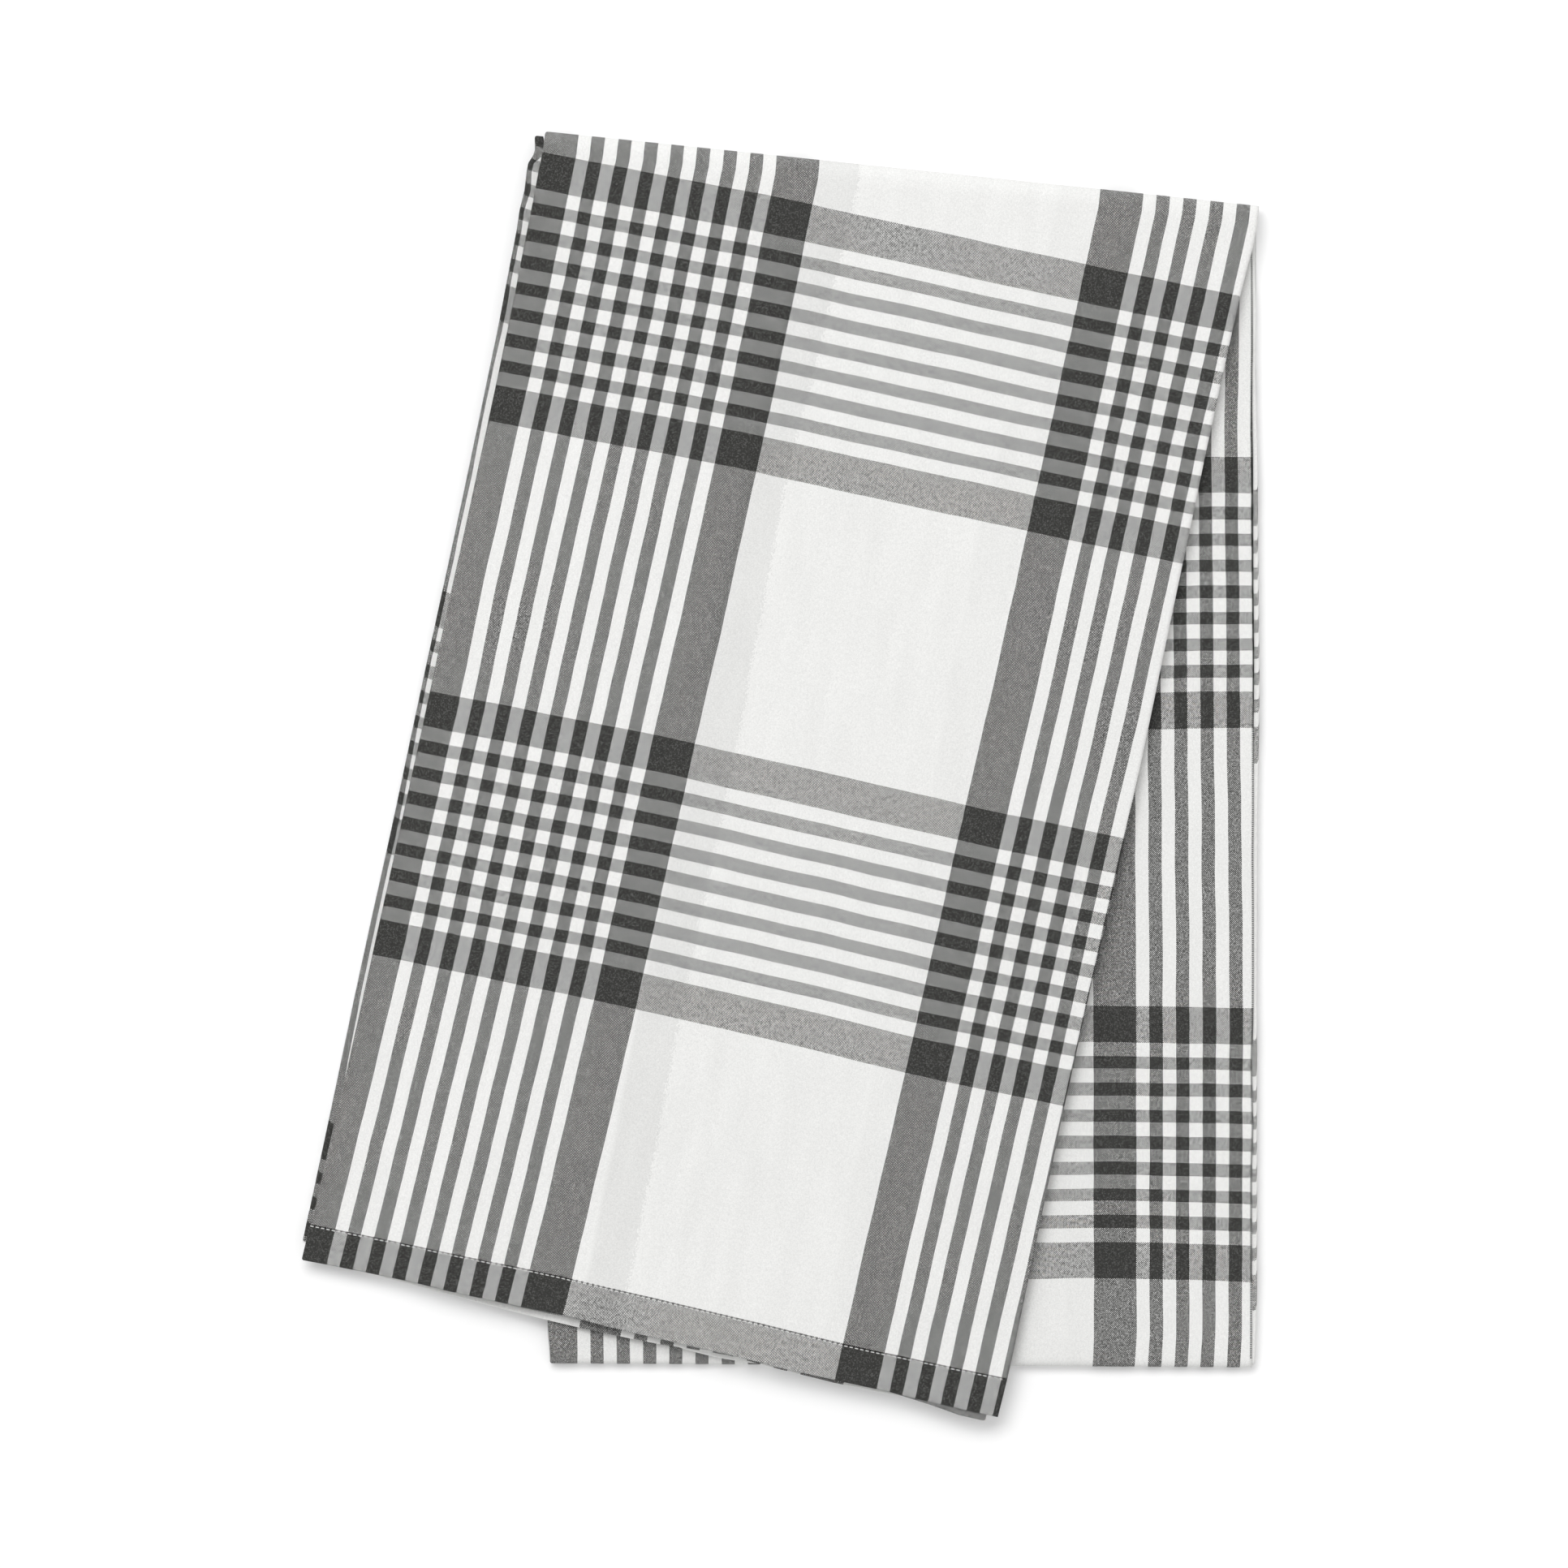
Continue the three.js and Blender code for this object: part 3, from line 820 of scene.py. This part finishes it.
def wovenCotton():
    # plain weave, thread by thread: each crossing shows the lengthwise or the crosswise thread's colour
    finish = Finish("wovenCheck")
    wovenU, wovenV = finish.pair("threads")
    wander = finish.noise(finish.vector(wovenU, wovenV), weave["wanderScale"], 1.0) - 0.5
    u = wovenU + wander * (weave["wander"] * mm)
    drift = finish.noise(finish.vector(wovenV, u), weave["driftScale"], 1.0) - 0.5
    v = wovenV + drift * (weave["drift"] * mm)
    x, y = u / (weave["pitchAcross"] * mm), v / (weave["pitchAlong"] * mm)
    warp, weft = x.maths("FLOOR"), y.maths("FLOOR")      # numbers of the threads
    thickA, thinA = darkStripes((warp + 0.5) * (weave["pitchAcross"] * mm), stripes["across"])
    thickB, thinB = darkStripes((weft + 0.5) * (weave["pitchAlong"] * mm), stripes["along"])
    darkA, darkB = thickA + thinA, thickB + thinB

    # threads are uneven along their length, and from crossing to crossing
    apart = weave["threadScale"]
    warpTone = finish.noise(finish.vector(warp * apart, v * weave["warpScale"]), 1.0, 1.0) - 0.5
    weftTone = finish.noise(finish.vector(u * weave["weftScale"], weft * apart + 7.3), 1.0, 1.0) - 0.5
    fleck = finish.signal(finish.node("TexWhiteNoise", {"noise_dimensions": "2D"},
                                      {"Vector": finish.vector(warp + 0.5, weft + 0.5)})) - 0.5

    # plain weave: a product of sines is above 0 where the lengthwise thread is on top
    over = (x * math.pi).maths("SINE") * (y * math.pi).maths("SINE")
    onTop = over > 0.0
    whiteA, whiteB = 1 - darkA, 1 - darkB
    lengthwise = over + warpTone * weave["overSlub"] > fleck * weave["overFleck"] + weave["overDark"]
    crosswise = over + fleck * weave["underFleck"] < weftTone * weave["underSlub"] - weave["underDark"]
    white = whiteA * whiteB + whiteA * darkB * lengthwise * onTop + darkA * whiteB * crosswise * (over < 0.0)

    # threads are crowned, with painted shade in the gaps between them, and their tone changes as they do
    crownGapShade = over.maths("ABSOLUTE")
    tone = onTop * warpTone + (1 - onTop) * weftTone
    shade = tone * (2 * weave["slub"]) + fleck * weave["fleck"] + crownGapShade * weave["crownGapShade"] + (1 - weave["crownGapShade"])

    # the next layer's stripes show faintly through the white, most where the layers lie close
    belowU = finish.pair("below")[0] + fleck * (weave["veilFleck"] * mm) + warpTone * (weave["veilTone"] * mm)
    belowThick, belowThin = darkStripes(belowU, stripes["across"])
    least = weave["veilLeast"]
    rise = (u - weave["veilFrom"] * mm) * ((1 - least) / (weave["veilRise"] * mm)) + least
    close = rise.maths("MINIMUM", 1.0).maths("MAXIMUM", least)
    veil = 1 - (belowThick * weave["veilThick"] + belowThin * weave["veilThin"]) * close

    # soft clumps where dark threads take part, on the slant of the weave, and wide ones everywhere
    alongA, alongB = weave["mottleScale"]
    clump = finish.noise(finish.vector((u + v) * alongA, (u - v) * alongB), 1.0, 1.0) - 0.5
    wideA, wideB = weave["broadScale"]
    broad = finish.noise(finish.vector(u * wideA, v * wideB), 1.0, 1.0) - 0.5
    mottle = (clump * (1 - whiteA * whiteB) * weave["mottle"] + 1) * (broad * weave["broad"] + 1)

    # painted shade in the needle holes along the first hem
    needle = (wovenU / (stitch["pitch"] * mm)).maths("PINGPONG", 0.5) < weave["pitSize"] / stitch["pitch"]
    holeShade = ((wovenV - weave["pitAt"] * mm).maths("ABSOLUTE") < weave["pitReach"] * mm) * needle

    # painted shadow: a dark dotted line along the side edge where it lies over a gap; and painted shade on the
    # later layers' hem ends
    edgeU, edgeV = finish.pair("cloth")
    inGap = (edgeV > weave["edgeFrom"] * mm) * (edgeV < weave["edgeTo"] * mm)
    onEdge = (edgeU < weave["edgeDots"] * mm) * inGap
    dots = (y * 0.5).maths("PINGPONG", 0.5) < 0.3
    # painted shade on the later layers' turned hem ends, which lie in the top layer's shadow
    later = (edgeU > weave["curlFrom"] * mm) * (edgeU < weave["curlTo"] * mm)
    curlShade = later * (edgeV < weave["curlDepth"] * mm)
    # painted shade of the needle holes and painted shadow in the side edge's gap
    paintedShade = (1 - holeShade * weave["pitShade"]) * (1 - onEdge * dots * weave["edgeGapShadow"])
    shadeAll = (1 - curlShade * weave["curlShade"]) * paintedShade * veil * mottle

    fibres = (fleck - weave["bare"]).maths("MAXIMUM", 0.0) * (1 - white) * weave["fluff"]
    colour = finish.mixColour(white + fibres, weave["dark"], weave["white"])
    colour = finish.tint(colour, shade * shadeAll)
    bump = finish.node("Bump", sockets={"Strength": weave["bump"], "Distance": weave["bumpDepth"],
                                        "Height": crownGapShade})
    finish.surface({
        "Base Color": colour, "Roughness": weave["roughness"], "Normal": bump.outputs[0],
        "Specular IOR Level": 0.2, "Sheen Weight": 0.05, "Sheen Roughness": 0.5,
    })
    return finish.material


thread = {"dark": (0.60, 0.60, 0.59), "pale": (0.86, 0.86, 0.85), "fuzz": 2400.0, "bump": 0.4}


def stitchThread():
    # fine noise between a darker and a paler thread
    finish = Finish("hemThread")
    place = finish.node("TexCoord").outputs["Object"]
    noise = finish.node("TexNoise", sockets={"Vector": place, "Scale": thread["fuzz"], "Detail": 2.0})
    fuzz = finish.signal(noise)
    colour = finish.mixColour(fuzz, thread["dark"], thread["pale"])
    bump = finish.node("Bump", sockets={"Strength": thread["bump"], "Distance": 0.0001, "Height": fuzz})
    finish.surface({"Base Color": colour, "Roughness": 0.85, "Normal": bump.outputs[0],
                    "Specular IOR Level": 0.25})
    return finish.material


clothSheet.data.materials.append(wovenCotton())
hemStitches.data.materials.append(stitchThread())
print("materials made")

# what each piece stands for
for piece in (clothSheet, hemStitches):
    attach(piece, "root")
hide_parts("tablecloth")

studio = {
    "floorSize": 24.0, "floorColour": 0.95, "floorGlow": 0.10,
    "sky": 0.62,
    "lamp": {"at": (-1.17, 2.66, 4.67), "size": (4.2, 2.7), "watts": 170.0},
    "eye": 4.0, "eyeOver": 0.012, "viewWidth": 0.807, "centre": (0.00235, -0.00508),  # metres
    "sensor": 36.0, "seenTo": 60.0,
}


def makeFloor():
    # a square plane that glows a little for the camera alone
    reach = studio["floorSize"] / 2
    mesh = bpy.data.meshes.new("floor")
    corners = [(-reach, -reach, 0), (reach, -reach, 0), (reach, reach, 0), (-reach, reach, 0)]
    mesh.from_pydata(corners, [], [(0, 1, 2, 3)])
    floor = bpy.data.objects.new("floor", mesh)
    scene.collection.objects.link(floor)
    finish = Finish("paleFloor")
    sight = finish.signal(finish.node("LightPath"), "Is Camera Ray")
    grey = studio["floorColour"]
    shader = finish.surface({"Base Color": (grey, grey, grey, 1), "Roughness": 1.0, "Specular IOR Level": 0.0,
                             "Emission Color": (1, 1, 1, 1), "Emission Strength": sight * studio["floorGlow"]})
    mesh.materials.append(finish.material)


def makeLight():
    # an even sky, white to the camera, and one lamp turned towards the origin
    world = bpy.data.worlds.new("studio")
    world.use_nodes = True
    tree = world.node_tree
    tree.nodes.clear()
    path = tree.nodes.new("ShaderNodeLightPath")
    back = tree.nodes.new("ShaderNodeBackground")
    out = tree.nodes.new("ShaderNodeOutputWorld")
    seen = Signal(tree, path.outputs["Is Camera Ray"])
    back.inputs["Color"].default_value = (1, 1, 1, 1)
    tree.links.new((seen * (1 - studio["sky"]) + studio["sky"]).socket, back.inputs["Strength"])
    tree.links.new(back.outputs[0], out.inputs["Surface"])
    scene.world = world
    lamp = studio["lamp"]
    light = bpy.data.lights.new("keyLamp", "AREA")
    light.shape = "RECTANGLE"
    light.size, light.size_y = lamp["size"]
    light.energy = lamp["watts"]
    holder = bpy.data.objects.new("keyLamp", light)
    scene.collection.objects.link(holder)
    holder.location = lamp["at"]
    x, y, z = lamp["at"]
    holder.rotation_euler = (math.atan2(math.hypot(x, y), z), 0, math.atan2(y, x) + math.pi / 2)


def makeCamera():
    # straight down; the focal length fits the view's width at the eye's distance
    view = bpy.data.cameras.new("camera")
    view.sensor_width = studio["sensor"]
    view.lens = studio["sensor"] * studio["eye"] / studio["viewWidth"]
    view.clip_end = studio["seenTo"]
    camera = bpy.data.objects.new("camera", view)
    camera.location = (*studio["centre"], studio["eye"] + studio["eyeOver"])
    scene.collection.objects.link(camera)
    scene.camera = camera


makeFloor()
makeLight()
makeCamera()
scene.view_settings.view_transform = "Standard"
print("stage made")
